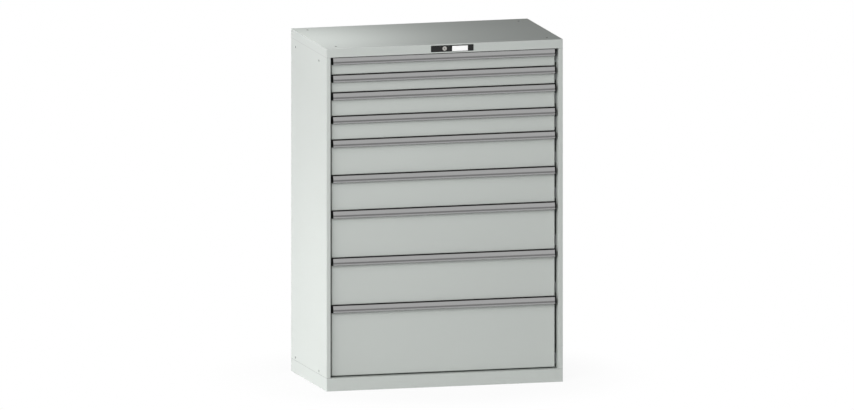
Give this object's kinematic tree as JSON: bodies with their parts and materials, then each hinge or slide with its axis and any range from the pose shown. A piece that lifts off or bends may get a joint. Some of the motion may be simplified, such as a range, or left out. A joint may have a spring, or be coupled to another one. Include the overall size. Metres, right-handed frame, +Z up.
{
  "type": "drawer cabinet",
  "caption": "Floor-standing workshop drawer cabinet of folded sheet steel, with full-width grips, telescopic runners and one key lock in the header.",
  "frame": {"origin": "on the floor, under the middle of the cabinet's width and depth", "axes": "+X to the right as seen from the front, +Y to the back, +Z up; the drawers open towards -Y"},
  "size_m": [1.023, 0.572, 1.45],
  "materials": {
    "housing_paint": "satin powder coat, light grey",
    "front_paint": "satin powder coat, light grey",
    "tray_paint": "satin powder coat, light grey",
    "zinc_steel": "bright zinc plate",
    "runner_steel": "bright zinc plate",
    "rod_steel": "drawn bar",
    "grip_aluminium": "anodised extrusion",
    "cap_plastic": "moulded black",
    "plate_plastic": "moulded charcoal",
    "label_paper": "plain white card",
    "lock_nickel": "nickel plated brass"
  },
  "bodies": {
    "housing": {"base_pan": "housing_paint", "top_cover": "housing_paint", "left_side_wall": "housing_paint", "right_side_wall": "housing_paint", "rear_wall": "housing_paint", "runner_posts": "zinc_steel", "left_cabinet_rails": "zinc_steel", "right_cabinet_rails": "zinc_steel", "lock_plate": "plate_plastic", "label_card": "label_paper", "lock_barrel": "lock_nickel", "locking_bar_guides": "zinc_steel"},
    "lock_rotor": {"lock_plug": "lock_nickel", "lock_rod": "rod_steel"},
    "lock_lifter": {"locking_bar": "zinc_steel"},
    "drawer_1": {"drawer_1_tray": "tray_paint", "drawer_1_front": "front_paint", "drawer_1_grip": "grip_aluminium", "drawer_1_grip_caps": "cap_plastic"},
    "runner_1": {"drawer_1_middle_rails": "runner_steel"},
    "drawer_2": {"drawer_2_tray": "tray_paint", "drawer_2_front": "front_paint", "drawer_2_grip": "grip_aluminium", "drawer_2_grip_caps": "cap_plastic"},
    "runner_2": {"drawer_2_middle_rails": "runner_steel"},
    "drawer_3": {"drawer_3_tray": "tray_paint", "drawer_3_front": "front_paint", "drawer_3_grip": "grip_aluminium", "drawer_3_grip_caps": "cap_plastic"},
    "runner_3": {"drawer_3_middle_rails": "runner_steel"},
    "drawer_4": {"drawer_4_tray": "tray_paint", "drawer_4_front": "front_paint", "drawer_4_grip": "grip_aluminium", "drawer_4_grip_caps": "cap_plastic"},
    "runner_4": {"drawer_4_middle_rails": "runner_steel"},
    "drawer_5": {"drawer_5_tray": "tray_paint", "drawer_5_front": "front_paint", "drawer_5_grip": "grip_aluminium", "drawer_5_grip_caps": "cap_plastic"},
    "runner_5": {"drawer_5_middle_rails": "runner_steel"},
    "drawer_6": {"drawer_6_tray": "tray_paint", "drawer_6_front": "front_paint", "drawer_6_grip": "grip_aluminium", "drawer_6_grip_caps": "cap_plastic"},
    "runner_6": {"drawer_6_middle_rails": "runner_steel"},
    "drawer_7": {"drawer_7_tray": "tray_paint", "drawer_7_front": "front_paint", "drawer_7_grip": "grip_aluminium", "drawer_7_grip_caps": "cap_plastic"},
    "runner_7": {"drawer_7_middle_rails": "runner_steel"},
    "drawer_8": {"drawer_8_tray": "tray_paint", "drawer_8_front": "front_paint", "drawer_8_grip": "grip_aluminium", "drawer_8_grip_caps": "cap_plastic"},
    "runner_8": {"drawer_8_middle_rails": "runner_steel"},
    "drawer_9": {"drawer_9_tray": "tray_paint", "drawer_9_front": "front_paint", "drawer_9_grip": "grip_aluminium", "drawer_9_grip_caps": "cap_plastic"},
    "runner_9": {"drawer_9_middle_rails": "runner_steel"}
  },
  "joints": [
    {"name": "drawer_1_slide", "type": "slide", "parent": "housing", "child": "drawer_1", "axis": [0, -1, 0], "range_m": [0, 0.459]},
    {"name": "runner_1_slide", "type": "slide", "parent": "housing", "child": "runner_1", "axis": [0, -1, 0], "range_m": [0, 0.2295]},
    {"name": "drawer_2_slide", "type": "slide", "parent": "housing", "child": "drawer_2", "axis": [0, -1, 0], "range_m": [0, 0.459]},
    {"name": "runner_2_slide", "type": "slide", "parent": "housing", "child": "runner_2", "axis": [0, -1, 0], "range_m": [0, 0.2295]},
    {"name": "drawer_3_slide", "type": "slide", "parent": "housing", "child": "drawer_3", "axis": [0, -1, 0], "range_m": [0, 0.459]},
    {"name": "runner_3_slide", "type": "slide", "parent": "housing", "child": "runner_3", "axis": [0, -1, 0], "range_m": [0, 0.2295]},
    {"name": "drawer_4_slide", "type": "slide", "parent": "housing", "child": "drawer_4", "axis": [0, -1, 0], "range_m": [0, 0.459]},
    {"name": "runner_4_slide", "type": "slide", "parent": "housing", "child": "runner_4", "axis": [0, -1, 0], "range_m": [0, 0.2295]},
    {"name": "drawer_5_slide", "type": "slide", "parent": "housing", "child": "drawer_5", "axis": [0, -1, 0], "range_m": [0, 0.459]},
    {"name": "runner_5_slide", "type": "slide", "parent": "housing", "child": "runner_5", "axis": [0, -1, 0], "range_m": [0, 0.2295]},
    {"name": "drawer_6_slide", "type": "slide", "parent": "housing", "child": "drawer_6", "axis": [0, -1, 0], "range_m": [0, 0.459]},
    {"name": "runner_6_slide", "type": "slide", "parent": "housing", "child": "runner_6", "axis": [0, -1, 0], "range_m": [0, 0.2295]},
    {"name": "drawer_7_slide", "type": "slide", "parent": "housing", "child": "drawer_7", "axis": [0, -1, 0], "range_m": [0, 0.459]},
    {"name": "runner_7_slide", "type": "slide", "parent": "housing", "child": "runner_7", "axis": [0, -1, 0], "range_m": [0, 0.2295]},
    {"name": "drawer_8_slide", "type": "slide", "parent": "housing", "child": "drawer_8", "axis": [0, -1, 0], "range_m": [0, 0.459]},
    {"name": "runner_8_slide", "type": "slide", "parent": "housing", "child": "runner_8", "axis": [0, -1, 0], "range_m": [0, 0.2295]},
    {"name": "drawer_9_slide", "type": "slide", "parent": "housing", "child": "drawer_9", "axis": [0, -1, 0], "range_m": [0, 0.459]},
    {"name": "runner_9_slide", "type": "slide", "parent": "housing", "child": "runner_9", "axis": [0, -1, 0], "range_m": [0, 0.2295]},
    {"name": "lock_turn", "type": "hinge", "parent": "housing", "child": "lock_rotor", "pos_m": [0, -0.286, 1.431], "axis": [0, 1, 0], "range_deg": [0, 90]},
    {"name": "lock_bar_lift", "type": "slide", "parent": "housing", "child": "lock_lifter", "axis": [0, 0, 1], "range_m": [0, 0.01131]}
  ],
  "couplings": [
    {"joint": "runner_1_slide", "follows": "drawer_1_slide", "ratio": 0.5},
    {"joint": "runner_2_slide", "follows": "drawer_2_slide", "ratio": 0.5},
    {"joint": "runner_3_slide", "follows": "drawer_3_slide", "ratio": 0.5},
    {"joint": "runner_4_slide", "follows": "drawer_4_slide", "ratio": 0.5},
    {"joint": "runner_5_slide", "follows": "drawer_5_slide", "ratio": 0.5},
    {"joint": "runner_6_slide", "follows": "drawer_6_slide", "ratio": 0.5},
    {"joint": "runner_7_slide", "follows": "drawer_7_slide", "ratio": 0.5},
    {"joint": "runner_8_slide", "follows": "drawer_8_slide", "ratio": 0.5},
    {"joint": "runner_9_slide", "follows": "drawer_9_slide", "ratio": 0.5},
    {"joint": "lock_turn", "follows": "lock_bar_lift", "rad_per_m": 138.84}
  ]
}
